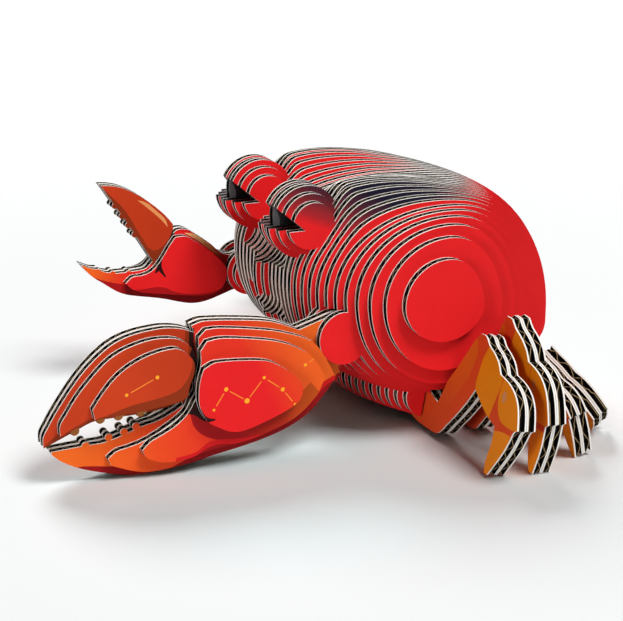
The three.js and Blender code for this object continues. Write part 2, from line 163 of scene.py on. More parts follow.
class Surface:
    """A paper or card material, built up from nodes on one shader."""

    def __init__(self, name, roughness=0.55, specular=0.1):
        self.material = bpy.data.materials.new(name)
        self.material.use_nodes = True
        self.tree = self.material.node_tree
        self.shader = self.tree.nodes["Principled BSDF"]
        self.shader.inputs["Specular IOR Level"].default_value = specular
        self.roughness = roughness
        self.place = self.node("ShaderNodeTexCoord").outputs["Object"]

    def node(self, kind, **settings):
        """A new node of this kind, with its settings."""
        made = self.tree.nodes.new(kind)
        for name, value in settings.items():
            setattr(made, name, value)
        return made

    def link(self, a, b):
        self.tree.links.new(a, b)

    def noise(self, scale, detail):
        """Noise by place; scale is in grains to a metre."""
        texture = self.node("ShaderNodeTexNoise")
        texture.inputs["Scale"].default_value = scale
        texture.inputs["Detail"].default_value = detail
        self.link(self.place, texture.inputs["Vector"])
        return texture.outputs["Fac"]

    def ramp(self, value, low, high, out_low=0.0, out_high=1.0, smooth=False):
        """value from low to high, mapped to out_low to out_high."""
        mapped = self.node("ShaderNodeMapRange")
        mapped.interpolation_type = "SMOOTHSTEP" if smooth else "LINEAR"
        numbers = (low, high, out_low, out_high)
        for socket, number in zip(("From Min", "From Max", "To Min", "To Max"), numbers):
            mapped.inputs[socket].default_value = number
        self.link(value, mapped.inputs["Value"])
        return mapped.outputs["Result"]

    def measure(self, operation, vector):
        """The place's dot product with the vector, or its distance from it."""
        measured = self.node("ShaderNodeVectorMath", operation=operation)
        measured.inputs[1].default_value = vector
        self.link(self.place, measured.inputs[0])
        return measured.outputs["Value"]

    def along(self, start, end):
        """0 at the artwork point start, 1 at end, and smooth between them."""
        a = Vector((0, (start[0] + ART_Y) * MM, start[1] * MM))
        b = Vector((0, (end[0] + ART_Y) * MM, end[1] * MM))
        way = b - a
        reach = self.measure("DOT_PRODUCT", way / way.length_squared)
        offset = a.dot(way) / way.length_squared
        return self.ramp(reach, offset, offset + 1, smooth=True)

    def across(self, direction, low, high):
        """0 to 1 as the artwork's (x, y, z) goes along direction from low to high."""
        reach = self.measure("DOT_PRODUCT", direction)
        shift = direction[1] * ART_Y
        return self.ramp(reach, (low + shift) * MM, (high + shift) * MM)

    def around(self, point, near, far):
        """0 within near of the point in the frame, 1 beyond far, and smooth between them."""
        reach = self.measure("DISTANCE", [c * MM for c in point])
        return self.ramp(reach, near * MM, far * MM, smooth=True)

    def colours(self, share, stops):
        """The colours in stops, a list of (place, colour), along share."""
        band = self.node("ShaderNodeValToRGB")
        elements = band.color_ramp.elements
        while len(elements) < len(stops):
            elements.new(1.0)
        for element, (place, colour) in zip(elements, stops):
            element.position = place
            element.color = linear(colour)
        self.link(share, band.inputs[0])
        return band.outputs[0]

    def both(self, a, b, operation):
        """Two values joined by a Math node's operation."""
        joined = self.node("ShaderNodeMath", operation=operation)
        self.link(a, joined.inputs[0])
        self.link(b, joined.inputs[1])
        return joined.outputs[0]

    def finish(self, colour, grain=0.06, bump=0.15):
        """Paper grain over the colour or socket, in its shade, its roughness and its relief."""
        fine = self.noise(GRAINS, 3)
        broad = self.noise(GRAINS / CLOUD, 2)
        both = self.both(fine, broad, "ADD")
        shade = self.ramp(both, 2 * NOISE_LOW, 2 * NOISE_HIGH, 1 - grain, 1 + grain / 2)
        shaded = self.node("ShaderNodeVectorMath", operation="SCALE")
        if isinstance(colour, bpy.types.NodeSocket):
            self.link(colour, shaded.inputs[0])
        else:
            shaded.inputs[0].default_value = linear(colour)[:3]
        self.link(shade, shaded.inputs["Scale"])
        self.link(shaded.outputs[0], self.shader.inputs["Base Color"])
        low, high = self.roughness - ROUGHNESS_SPREAD, self.roughness + ROUGHNESS_SPREAD
        rough = self.ramp(fine, NOISE_LOW, NOISE_HIGH, low, high)
        self.link(rough, self.shader.inputs["Roughness"])
        relief = self.node("ShaderNodeBump")
        relief.inputs["Strength"].default_value = bump
        relief.inputs["Distance"].default_value = RELIEF * MM
        self.link(fine, relief.inputs["Height"])
        self.link(relief.outputs[0], self.shader.inputs["Normal"])
        return self.material


def plain(name, colour, **settings):
    """A print, or bare paper, of one colour."""
    return Surface(name, **settings).finish(colour)


def fade(name, stops, start, end):
    """A print that runs through the colours in stops from start to end."""
    surface = Surface(name)
    last = len(stops) - 1
    placed = [(i / last, colour) for i, colour in enumerate(stops)]
    return surface.finish(surface.colours(surface.along(start, end), placed))


# The navy on the back comes in from NAVY_LOW to NAVY_HIGH, less NAVY_SLOPE for each
# millimetre to the rear. It goes out from NAVY_FULL to NAVY_END towards the rear,
# less NAVY_TAPER for each millimetre that a board stands from the middle
NAVY_SLOPE = 0.4
NAVY_LOW = 30
NAVY_HIGH = 38
NAVY_TAPER = 0.44
NAVY_END = 25.3
NAVY_FULL = 17.5
NAVY_STOPS = [(0, RED), (0.2, CRIMSON), (0.32, MAROON), (0.55, PLUM), (0.72, PURPLE), (1, NAVY)]


def back_print(name, side):
    """Red, turning to navy over the crest of the back, for the boards on one side."""
    surface = Surface(name)
    rising = surface.across((0, NAVY_SLOPE, 1), NAVY_LOW, NAVY_HIGH)
    fading = surface.across((NAVY_TAPER * side, 1, 0), NAVY_END, NAVY_FULL)
    night = surface.both(rising, fading, "MINIMUM")
    return surface.finish(surface.colours(night, NAVY_STOPS))


MATERIALS = {
    "edge": plain("liner_edge", WHITE, roughness=0.8),
    # Painted shade for the inside of the flutes, on faces of pale paper
    "inside": plain("flute_shade_paint", FLUTE_SHADE, roughness=0.9, specular=0.05),
    "flute": plain("fluting", FLUTING, roughness=0.85),
    "red": plain("red_print", RED),
    "carmine": plain("carmine_print", CARMINE),
    "deep_red": plain("deep_red_print", DEEP_RED),
    "dark_red": plain("dark_red_print", DARK_RED),
    "back_left": back_print("back_print_left", 1),
    "back_right": back_print("back_print_right", -1),
    # Print darkened with painted shade, along the lower edge of the large claw
    "border": plain("border_and_shade_print", BORDER_SHADE_RED),
    # Painted shade that layer 3 of the large palm casts on layer 2
    "shade": fade("painted_shade_print", [DEEP_RED, SHADE_RUST, OCHRE_RED], (-28, 6), (-11, 11)),
    "rust": fade("rust_print", [RUST_RED, RUST, RUST_RED], (-56, 8), (-33, 20)),
    "brown": plain("brown_print", BROWN),
    "claw": fade("claw_print", [ORANGE, ORANGE_RED, CLAW_RED, CLAW_RED, CLAW_ORANGE], (-55, 3), (-8, 18)),
    "heart": fade("heart_print", [RED, RED, ORANGE_RED], (-30, 9), (-14, 16)),
    "tip": fade("tip_print", [ORANGE, ORANGE_RED, RED], (-37, 21), (-27, 19)),
    "finger": fade("finger_print", [RUST, RUST_RED], (-34, 34), (-22, 26)),
    "palm": fade("palm_print", [RED, RED, RED, DEEP_RED], (-24, 18), (-9, 21)),
    "wrist": fade("wrist_print", [RED, RED, CARMINE, DEEP_RED], (-20, 26), (-11, 19)),
    "sheen": fade("sheen_print", [PALE, PALE, PEACH, BROWN], (-19, 25), (-12, 19)),
    "tan": plain("tooth_print", TAN),
    "orange": plain("orange_print", ORANGE),
    "gold": plain("gold_print", GOLD),
    "gold_line": plain("gold_line_print", GOLD_LINE),
    # The dark hinge print, also painted shade in the recess between the large claw's finger and palm
    # layers
    "hinge": plain("hinge_and_shade_print", HINGE_AND_SHADE),
    "peach": plain("highlight_print", PEACH),
    "leg": plain("leg_print", LEG_RED),
    "thigh": fade("thigh_print", [OCHRE_RUST, LEG_RED], (0, 18), (0, 3)),
    "ochre": plain("ochre_print", OCHRE),
    "shine": plain("shine_print", SHINE),
    "pupil": plain("pupil_print", BLACK, roughness=0.35, specular=0.5),
    "pupil_end": plain("pupil_end_print", GREY, roughness=0.35, specular=0.5),
}


# Outlines, read from the frame


class Plane:
    """The plane of a board: u and v along it, w through it, towards its print.

    The printed side is the largest of those that face the right way, where
    triangles whose directions agree to two decimals are one side.
    """

    def __init__(self, node):
        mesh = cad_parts[node].data
        mesh.calc_loop_triangles()
        co = np.array([v.co for v in mesh.vertices]) / MM
        self.triangles = co[np.array([t.vertices for t in mesh.loop_triangles])]
        a, b, c = np.moveaxis(self.triangles, 1, 0)
        groups = {}
        for normal in np.cross(b - a, c - a):
            size = np.linalg.norm(normal)
            if size > 0:
                key = tuple(np.round(normal / size, 2) + 0.0)
                groups.setdefault(key, []).append(normal)
        areas = {key: np.sum(normals, axis=0) for key, normals in groups.items()}
        facing = [n for key, n in areas.items() if key[0] > FACES_LEFT or key[1] < FACES_FORWARD]
        self.w = max(facing, key=np.linalg.norm)
        self.w = self.w / np.linalg.norm(self.w)
        self.u = np.array([0.0, 1, 0]) if self.w[0] > FACES_LEFT else np.array([1.0, 0, 0])
        self.v = np.cross(self.w, self.u)
        depths = self.triangles @ self.w
        self.low, self.high = depths.min(), depths.max()

    def outlines(self):
        """The printed side's outlines, as arrays of (u, v) points."""
        depths = self.triangles @ self.w
        cap = self.triangles[depths.min(axis=1) > self.high - FLAT]
        names, points, edges = {}, [], {}
        for triangle in cap:
            ids = []
            for corner in triangle:
                u, v = corner @ self.u, corner @ self.v
                key = (round(u * GRID), round(v * GRID))
                if key not in names:
                    names[key] = len(points)
                    points.append((u, v))
                ids.append(names[key])
            for i, j in ((0, 1), (1, 2), (2, 0)):
                edges[(ids[i], ids[j])] = True
        onward = {a: b for a, b in edges if (b, a) not in edges}
        loops = []
        while onward:
            start = next(iter(onward))
            loop, at = [], start
            while at in onward:
                loop.append(points[at])
                at = onward.pop(at)
            loops.append(np.array(loop))
        return [loop for loop in loops if abs(area(loop)) > SPECK]


def area(loop):
    """The loop's area, which is negative where it runs clockwise."""
    x, y = loop[:, 0], loop[:, 1]
    return 0.5 * np.sum(x * np.roll(y, -1) - y * np.roll(x, -1))


def smooth(loop):
    """The loop as a curve through its points, which keeps its corners and long edges.

    Between two points it is a cubic, h, that leaves and arrives along a tangent.
    """
    ahead = np.roll(loop, -1, axis=0) - loop
    length = np.linalg.norm(ahead, axis=1)
    ahead = ahead / length[:, None]
    behind = np.roll(ahead, 1, axis=0)
    before = np.roll(length, 1)
    turn = np.arccos(np.clip(np.sum(ahead * behind, axis=1), -1, 1))
    tangent = (behind * length[:, None] + ahead * before[:, None]) / (length + before)[:, None]
    tangent /= np.linalg.norm(tangent, axis=1)[:, None]
    points = []
    for i in range(len(loop)):
        j = (i + 1) % len(loop)
        points.append(loop[i])
        leave = ahead[i] if turn[i] > CORNER or before[i] > STRAIGHT else tangent[i]
        arrive = ahead[i] if turn[j] > CORNER or length[j] > STRAIGHT else tangent[j]
        if before[i] > STRAIGHT and turn[i] <= CORNER:
            leave = behind[i]
        if length[j] > STRAIGHT and turn[j] <= CORNER:
            arrive = ahead[j]
        bend = max(np.linalg.norm(leave - ahead[i]), np.linalg.norm(arrive - ahead[i]))
        if length[i] > STRAIGHT or bend < LEAST_BEND:
            continue
        count = math.ceil(length[i] / CURVE_STEP)
        for k in range(1, count):
            t = k / count
            h = (2 * t**3 - 3 * t**2 + 1, t**3 - 2 * t**2 + t, 3 * t**2 - 2 * t**3, t**3 - t**2)
            points.append(
                h[0] * loop[i] + h[1] * length[i] * leave + h[2] * loop[j] + h[3] * length[i] * arrive
            )
    return np.array(points)


def holds(ring, point):
    """Whether a convex outline holds the point."""
    ahead = np.roll(ring, -1, axis=0) - ring
    reach = point - ring
    return bool(np.all(ahead[:, 0] * reach[:, 1] >= ahead[:, 1] * reach[:, 0]))


def shrink(loop, distance):
    """The loop moved inwards by distance."""
    ahead = np.roll(loop, -1, axis=0) - loop
    ahead /= np.linalg.norm(ahead, axis=1)[:, None]
    behind = np.roll(ahead, 1, axis=0)
    along = ahead + behind
    along /= np.maximum(np.linalg.norm(along, axis=1), HAIRPIN)[:, None]
    inward = np.stack([-along[:, 1], along[:, 0]], axis=1)
    return loop + inward * distance


def triangulate(loops, artwork=(), lines=()):
    """Points and triangles inside the loops, cut along the artwork's shapes and the lines.

    Each triangle also has the number of the last artwork shape over it, or -1.
    """
    points, edges, faces = [], [], []
    for shape in [*loops, *artwork]:
        first = len(points)
        ring = shape if area(shape) > 0 else shape[::-1]
        points += [Vector(p) for p in ring]
        faces.append(list(range(first, first + len(ring))))
    for a, b in lines:
        edges.append((len(points), len(points) + 1))
        points += [Vector(a), Vector(b)]
    made = delaunay_2d_cdt(points, edges, faces, 0, SAME_POINT)
    flat = np.array([tuple(p) for p in made[0]])
    holes = {i for i, loop in enumerate(loops) if area(loop) < 0}
    body = {i for i, loop in enumerate(loops) if area(loop) > 0}
    triangles, tags = [], []
    for triangle, owners in zip(made[2], made[5]):
        owners = set(owners)
        if owners & body and not owners & holes:
            triangles.append(list(triangle))
            tags.append(max([o - len(loops) for o in owners if o >= len(loops)], default=-1))
    used, places = np.unique(triangles, return_inverse=True)
    return flat[used], places.reshape(-1, 3).tolist(), tags


class Card:
    """The mesh of one or more boards, face to face."""

    def __init__(self, plane):
        self.plane = plane
        self.points, self.faces, self.looks = [], [], []
        self.names = []

    def look(self, name):
        """The number of a look among the card's materials."""
        if name not in self.names:
            self.names.append(name)
        return self.names.index(name)

    def slab(self, flat, triangles, low, high, tops, bottoms, side, slit=None):
        """A closed slab between depths low and high, which are numbers or one for each point.

        Its sides have the look named in side, and are black inside the outline slit.
        """
        count = len(flat)
        start = len(self.points)
        place = np.outer(flat[:, 0], self.plane.u) + np.outer(flat[:, 1], self.plane.v)
        for level in (low, high):
            depth = np.outer(np.broadcast_to(level, count), self.plane.w)
            self.points += list((place + depth) * MM)
        sides = {}
        for (a, b, c), top, bottom in zip(triangles, tops, bottoms):
            self.faces.append((start + count + a, start + count + b, start + count + c))
            self.looks.append(self.look(top))
            self.faces.append((start + c, start + b, start + a))
            self.looks.append(self.look(bottom))
            for edge in ((a, b), (b, c), (c, a)):
                sides[edge] = True
        for a, b in sides:
            if (b, a) not in sides:
                self.faces.append((start + a, start + b, start + count + b, start + count + a))
                dark = slit is not None and holds(slit, (flat[a] + flat[b]) / 2)
                self.looks.append(self.look("pupil" if dark else side))

    def finish(self, name, node, slot):
        """The card as a piece that takes the node's place."""
        mesh = bpy.data.meshes.new(name)
        mesh.from_pydata([tuple(p) for p in self.points], [], self.faces)
        for look in self.names:
            mesh.materials.append(MATERIALS[look])
        mesh.polygons.foreach_set("material_index", self.looks)
        mesh.polygons.foreach_set("use_smooth", [True] * len(self.faces))
        mesh.set_sharp_from_angle(angle=SHARP)
        mesh.update()
        piece = bpy.data.objects.new(name, mesh)
        bpy.context.scene.collection.objects.link(piece)
        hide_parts(node)
        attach(piece, "root")
        return piece


def flute_lines(loops):
    """Fold lines of the fluted sheet across the loops, and the direction across the flutes."""
    across = np.array([math.cos(FLUTE_LEAN), math.sin(FLUTE_LEAN)])
    along = np.array([-across[1], across[0]])
    everything = np.concatenate(loops)
    reach = everything @ across
    span = everything @ along
    first = math.floor(reach.min() / FOLD)
    last = math.ceil(reach.max() / FOLD)
    lines = []
    for i in range(first, last + 1):
        foot = across * i * FOLD
        lines.append((foot + along * (span.min() - 1), foot + along * (span.max() + 1)))
    return lines, across


def dress(node, slot, near, far, artwork=(), slit=None):
    """The board or boards of a node as card.

    near is the look of the side that faces left or forwards, and far that of the
    other. artwork is a list of (outline, look) that is printed on both. Cut edges
    inside the outline slit are black.
    """
    plane = Plane(node)
    boards = max(1, round((plane.high - plane.low) / BOARD))
    thick = (plane.high - plane.low) / boards
    loops = [smooth(loop) for loop in plane.outlines()]
    card = Card(plane)
    flat, triangles, tags = triangulate(loops, [outline for outline, look in artwork])
    inner = [shrink(loop, FLUTE_INSET) for loop in loops]
    lines, across = flute_lines(inner)
    sheet, folds, _ = triangulate(inner, lines=lines)
    wave = np.sin(np.round((sheet @ across) / FOLD * 2) * math.pi / 4)
    # The liners' inner faces and both faces of the fluted sheet get painted shade, near-black like the
    # inside of the flutes
    flute_shade_looks = ["inside"] * max(len(triangles), len(folds))
    glued = ["edge"] * len(triangles)
    for i in range(boards):
        low = plane.low + i * thick
        high = low + thick
        tops = [near if tag < 0 else artwork[tag][1] for tag in tags]
        bottoms = [far if tag < 0 else artwork[tag][1] for tag in tags]
        tops = tops if i == boards - 1 else glued
        bottoms = bottoms if i == 0 else glued
        card.slab(flat, triangles, high - LINER, high - SEAM, tops, flute_shade_looks, "edge", slit)
        card.slab(flat, triangles, low + SEAM, low + LINER, flute_shade_looks, bottoms, "edge", slit)
        middle = (low + high) / 2 + (thick / 2 - LINER - SHEET / 2) * wave
        card.slab(sheet, folds, middle - SHEET / 2, middle + SHEET / 2, flute_shade_looks, flute_shade_looks, "flute", slit)
    return card.finish("card_" + node, node, slot)


# Artwork, as outlines of (y, z) points

DOT_SIDES = 16
STAR_LINE = 0.15
STAR_GAP = 0.7


def shape(*points):
    """A closed outline through the points, with its sharp turns kept."""
    return smooth(np.array(points, float) + (ART_Y, 0))


def dot(y, z, radius):
    """A round dot."""
    turns = np.linspace(0, 2 * math.pi, DOT_SIDES, endpoint=False)
    return np.stack([y + ART_Y + radius * np.cos(turns), z + radius * np.sin(turns)], axis=1)


def line(start, end, width):
    """A straight line with square ends."""
    a, b = np.array(start, float), np.array(end, float)
    side = np.array([a[1] - b[1], b[0] - a[0]]) / np.linalg.norm(b - a) * width / 2
    return np.array([a - side, b - side, b + side, a + side]) + (ART_Y, 0)


def stars(places):
    """Gold dots, each joined to the next by a thin line that stops short of both."""
    made = []
    for (y0, z0, r0), (y1, z1, r1) in zip(places, places[1:]):
        a, b = np.array([y0, z0]), np.array([y1, z1])
        way = (b - a) / np.linalg.norm(b - a)
        made.append((line(a + way * STAR_GAP, b - way * STAR_GAP, STAR_LINE), "gold_line"))
    return made + [(dot(*place), "gold") for place in places]


def claw_board_art():
    """Rust upper finger with a brown under side, teeth, and a dark hinge and lower border that are print
    darkened with painted shade.
    """
    finger = shape(
        (-58, 6), (-57, 12), (-50, 20), (-42, 25), (-36, 25), (-33.2, 22), (-33, 20), (-33, 12),
        (-33.6, 10.2), (-38, 8.9), (-43, 8.1), (-48, 7.6), (-52, 6.8), (-56, 5.4),
    )
    under = shape(
        (-56.5, 5.8), (-55.7, 6.4), (-54.6, 7.3), (-53.4, 8.1), (-50, 9.6), (-45, 10.8), (-40, 11.8),
        (-36, 13.6), (-34, 16.6), (-33.1, 19.5), (-33.05, 22), (-32.4, 22), (-32.4, 12), (-33.6, 10.2),
        (-38, 8.9), (-43, 8.1), (-48, 7.6), (-52, 6.8), (-56, 5.4),
    )
    # Dark hinge print and painted shade, where the board shows between the finger and palm layers
    hinge = shape(
        (-32.45, 22), (-32.46, 19.8), (-32.6, 17), (-33.2, 14), (-33.3, 10.7), (-33.7, 10.1),
        (-33.3, 8.2), (-31.8, 7.5), (-30.6, 8), (-30.6, 12), (-31.2, 16), (-31.69, 19.8), (-31.6, 22),
    )
    border = shape(
        (-55, 1), (-51.6, 2.2), (-50.9, 2.5), (-49.7, 2.6), (-48.1, 2.4), (-45.7, 2), (-41, 1.6),
        (-35, 2), (-29, 3), (-23, 4.2), (-17, 5.4), (-13, 7.6), (-10.6, 10.2), (-8.7, 10.9),
        (-8.2, 11.6), (-6.6, 11.6), (-6.6, 8), (-10, 2), (-20, -1.5), (-40, -2), (-55, -2),
    )
    teeth = [(-50.4, 8.2, 0.8), (-46.4, 9.4, 0.85), (-43.5, 9.5, 0.8), (-40.1, 9.6, 0.85)]
    parts = [(finger, "rust"), (under, "brown"), (hinge, "hinge"), (border, "border")]
    return parts + [(dot(*tooth), "tan") for tooth in teeth]


def finger_layer_1_art():
    """The brown under side and the dark hinge of the finger's first layer."""
    under = shape(
        (-54.2, 7.2), (-53.4, 8.1), (-52.1, 9.1), (-50.4, 9.9), (-48.7, 10.5), (-44, 11.6), (-38, 12.8),
        (-35.2, 14.4), (-34, 16.4), (-33.4, 17.6), (-33.1, 19.2), (-33.1, 21), (-30, 21), (-30, 9),
        (-45, 8), (-54.5, 6),
    )
    hinge = shape(
        (-32.35, 21), (-32.35, 19.8), (-32.88, 18.7), (-32.94, 17.4), (-32.74, 16.1), (-32.4, 14.5),
        (-30.4, 14.5), (-30.4, 21),
    )
    return [(under, "brown"), (hinge, "hinge")]


def finger_layer_2_art():
    """The same for its second layer, with two of the joined dots."""
    under = shape(
        (-49.2, 10.3), (-48.4, 10.9), (-46.7, 11.3), (-44.2, 12), (-41.7, 12.5), (-39.9, 12.7),
        (-37.4, 13.1), (-35.1, 13.9), (-34, 15.1), (-33.3, 16.5), (-33.1, 17.6), (-33, 18.5),
        (-33, 19.5), (-30, 19.5), (-30, 9), (-49.2, 8.5),
    )
    hinge = shape((-32.4, 19.5), (-32.5, 17.1), (-32.8, 15.6), (-30.4, 15.6), (-30.4, 19.5))
    return [(under, "brown"), (hinge, "hinge")] + stars([(-43.4, 14.1, 0.26), (-38.6, 16.2, 0.3)])


def palm_layer_1_art():
    """A carmine border and a dark border along the lower edge; the dark one is print darkened with
    painted shade.
    """
    bright = shape(
        (-8.6, 12.4), (-11.5, 11), (-12.2, 9.3), (-13.7, 7.8), (-15.7, 6.6), (-17.8, 5.8), (-21.1, 4.9),
        (-24.4, 4.4), (-27, 4.3), (-29.2, 4.3), (-31.4, 3.4), (-33.6, 1.8), (-34, -2), (-10, -2),
        (-7, 10),
    )
    dark = shape(
        (-9, 11.4), (-10.9, 10.4), (-12.7, 8.5), (-14.5, 6.9), (-16.2, 5.9), (-19.5, 4.7), (-22.8, 3.9),
        (-26, 3.6), (-28.7, 3.4), (-32.4, 2.3), (-35, 1.4), (-37, 0.6), (-37, -2), (-10, -2),
        (-7, 9),
    )
    return [(bright, "carmine"), (dark, "border")]


def palm_layer_2_art():
    """The hinge, the painted shade that layer 3 casts, a carmine border and a dark border of print and
    painted shade along the lower edge, and two joined dots.
    """
    hinge = shape(
        (-32.3, 14), (-33, 11.5), (-33.6, 10.7), (-34, 9.7), (-33.1, 9.5), (-32.4, 9), (-31.4, 8.2),
        (-30.9, 8.1), (-31.7, 9.4), (-31.9, 11),
    )
    # Painted shade that layer 3 casts on this layer, along its lower edge
    shade = shape(
        (-33.7, 10), (-33.5, 9.2), (-33.2, 7.9), (-32.5, 6.8), (-31.5, 5.9), (-30.4, 5.3), (-29.4, 4.9),
        (-26.3, 4.6), (-22.7, 4.6), (-19.1, 5.2), (-15.5, 7), (-13.7, 8.5), (-12.5, 10.1),
        (-14, 12), (-18, 9), (-24, 7.5), (-31, 9),
    )
    bright = shape(
        (-36, 3), (-32.7, 3.5), (-30.5, 4.8), (-29.1, 4.9), (-26.3, 4.6), (-22.7, 4.6), (-19.1, 5.2),
        (-15.5, 7), (-13.7, 8.5), (-12.5, 10.1), (-11, 12), (-9, 10), (-12, 2), (-36, 0),
    )
    dark = shape(
        (-33.5, 2), (-31.5, 3.6), (-29.8, 4.1), (-26.3, 3.8), (-22.7, 3.9), (-19.1, 4.7), (-15.5, 6.3),
        (-12.5, 8.9), (-10, 11), (-8, 8), (-12, 1), (-34, 0),
    )
    prints = [(shade, "shade"), (hinge, "hinge"), (bright, "carmine"), (dark, "border")]
    return prints + stars([(-14.9, 14.9, 0.26), (-12.6, 16.2, 0.2)])


def palm_layer_3_art():
    """A dark curl at the hinge, and a chain of joined dots."""
    curl = shape(
        (-32.7, 11.5), (-32.3, 10.6), (-31.8, 9.7), (-31.1, 9.2), (-30.2, 9), (-30.2, 8.75), (-31, 8.6),
        (-32, 8.6), (-33.5, 9), (-34, 11),
    )
    chain = [
        (-30.4, 10.4, 0.22), (-28.4, 13.4, 0.34), (-25.1, 11.1, 0.42), (-22.3, 14.4, 0.26),
        (-19.3, 12.1, 0.34), (-17.3, 9.4, 0.22),
    ]
    return [(curl, "hinge")] + stars(chain)


def small_claw_art():
    """The small claw's fingers, hinge, highlights, lower border and three dots."""
    finger = shape(
        (-36, 36.5), (-20, 31), (-20, 26), (-21.3, 24.9), (-22.3, 23.2), (-23.3, 22), (-24, 20.9),
        (-24.6, 20.2), (-26, 21), (-30, 27), (-35.5, 34.5),
    )
    under = shape(
        (-34, 35), (-33.3, 34.6), (-31.5, 32.7), (-29.9, 31), (-28.5, 28.9), (-27.4, 26.8),
        (-26.2, 24.7), (-25.4, 23.4), (-24.6, 22.8), (-23.6, 22.9), (-22.4, 23.9), (-21.3, 25.2),
        (-20.9, 26.4), (-20.2, 26.2), (-21.3, 24.9), (-22.3, 23.2), (-23.3, 22), (-24, 20.9),
        (-24.6, 20.2), (-26, 21), (-30, 27), (-35.5, 34.5),
    )
    hinge = shape(
        (-20.6, 27.2), (-21.2, 25.7), (-22, 24), (-23, 22.6), (-24.1, 21.1), (-23.8, 20.8),
        (-22.7, 22), (-21.7, 23.5), (-20.9, 25), (-20.2, 26.4),
    )
    light = shape(
        (-27.1, 31.8), (-26.1, 31.5), (-23.8, 29.6), (-22.1, 27.6), (-21.9, 26.6), (-22.6, 27.5),
        (-23.8, 28.8), (-25.4, 30.3),
    )
    sheen = shape(
        (-19, 25.3), (-17.7, 25.1), (-15.3, 23.6), (-13.1, 21.4), (-11.5, 19.2), (-12.8, 20.4),
        (-14.5, 21.9), (-16.2, 23.4),
    )
    tip = shape((-39, 24), (-36, 21.4), (-33, 20.6), (-27, 20.4), (-27, 16), (-38, 16))
    left = shape(
        (-39, 21.6), (-37, 20.2), (-35.5, 19.4), (-33.4, 18.5), (-30.9, 17.7), (-29.6, 17.4),
        (-29.6, 12), (-39, 12),
    )
    right = shape((-29.7, 17.4), (-26, 17.4), (-14, 17), (-10, 18), (-8, 16), (-10, 10), (-29.7, 10))
    dots = [(-34, 20.6, 0.26), (-31.3, 19.85, 0.28), (-28.8, 19.75, 0.28)]
    parts = [(tip, "tip"), (finger, "finger"), (under, "brown"), (hinge, "hinge"), (light, "peach")]
    parts += [(sheen, "sheen"), (left, "deep_red"), (right, "dark_red")]
    return parts + [(dot(*place), "orange") for place in dots]


def small_palm_art():
    """A dark border along the lower edge, and a forked mark at the hinge."""
    border = shape(
        (-31, 16.9), (-29, 16.8), (-27, 16.7), (-24.6, 16.8), (-23.1, 16.5), (-21.7, 15.7),
        (-19.5, 15), (-16.9, 14.7), (-14.3, 14.8), (-12.6, 15.4), (-11, 16.4), (-11, 12), (-31, 12),
    )
    mark = shape(
        (-23.4, 22), (-24.5, 20.4), (-24.9, 19.4), (-24.7, 19.2), (-24.2, 19.6), (-23.8, 19.1),
        (-23.1, 18.3), (-22.9, 18.4), (-23.4, 19.4), (-23.7, 20.5), (-23.6, 21.3),
    )
    return [(border, "deep_red"), (mark, "hinge")]


def pupil_art():
    """A black pupil in the slit between the lids, with a grey shine at its end."""
    pupil = shape((-10.2, 32.9), (-17, 32.9), (-17, 39), (-10.2, 33.3))
    end = shape(
        (-17, 32), (-13.5, 32), (-13.15, 33.2), (-13.2, 34.4), (-13.7, 35.6), (-14.4, 37), (-17, 37),
    )
    return [(pupil, "pupil"), (end, "pupil_end")]


# The legs' artwork is drawn once, on a leg of LEG_MASTER's reach, rise and ankle,
# in z and in x from the hip, which lies LEG_HIP from the middle of the crab. Each
# leg, counted from the front, has its own reach, rise, ankle and splay
LEG_MASTER = (29, 19.7, 8.6)
LEG_SIZES = {
    "1": (29, 19.7, 8.6, 0),
    "2": (27.9, 21.9, 8.4, 2.4),
    "3": (22.6, 13.8, 7.2, 3.2),
    "4": (16.4, 14.9, 3.9, -0.8),
}
LEG_HIP = 20.8


def leg_art(node):
    """Ochre ovals on the thigh, shin and foot, and a highlight."""
    side = 1 if "left" in node else -1
    reach, rise, ankle, splay = LEG_SIZES[node[-1]]
    full_reach, full_rise, full_ankle = LEG_MASTER
    ground = min(loop[:, 1].min() for loop in Plane(node).outlines())

    def placed(*points):
        """A closed outline through the points, stretched from the master to this leg."""
        made = []
        for x, z in points:
            across = LEG_HIP + x * reach / full_reach + splay * max(0, 1 - z / full_ankle)
            up = z * ankle / full_ankle
            if z > full_ankle:
                up = ankle + (z - full_ankle) * (rise - ankle) / (full_rise - full_ankle)
            made.append((side * across, ground + up))
        return smooth(np.array(made))

    inner = placed(
        (12.7, 18.4), (13.5, 18), (13.9, 16.4), (13.5, 14.5), (12.8, 12.5), (11.2, 10), (9, 6.9),
        (6.1, 3.5), (2.2, 0.2), (0, 2), (3, 8), (7, 13), (11, 18),
    )
    outer = placed(
        (16.9, 18.2), (15.8, 16), (15.3, 13.6), (15, 12), (15.2, 10.8), (17, 9.4), (19, 8.2), (20.5, 7.6),
        (20.6, 8.5), (21, 9.9), (21.9, 12.6), (22.5, 14.9), (22.6, 16.5), (20, 19),
    )
    shin = placed(
        (22.7, 15.6), (22.7, 14.8), (22.35, 13.7), (22.2, 12.2), (22.4, 10.9), (22.9, 9.8), (23.8, 8.9),
        (25.3, 8.6), (27, 8.6), (28.4, 8.7), (31, 9), (30, 14), (26, 17),
    )
    foot = placed(
        (20.5, 6.4), (22.9, 7), (24.7, 7.4), (26.4, 7.6), (27.6, 7.6), (30, 7.6), (27, -1), (20, -1),
    )
    shine = placed(
        (23.6, 13.5), (24.2, 13.3), (24.3, 12.3), (23.8, 11.5), (23.3, 11.7), (23.1, 12.6),
    )
    return [(inner, "thigh"), (outer, "ochre"), (shin, "ochre"), (foot, "ochre"), (shine, "shine")]


# Pieces

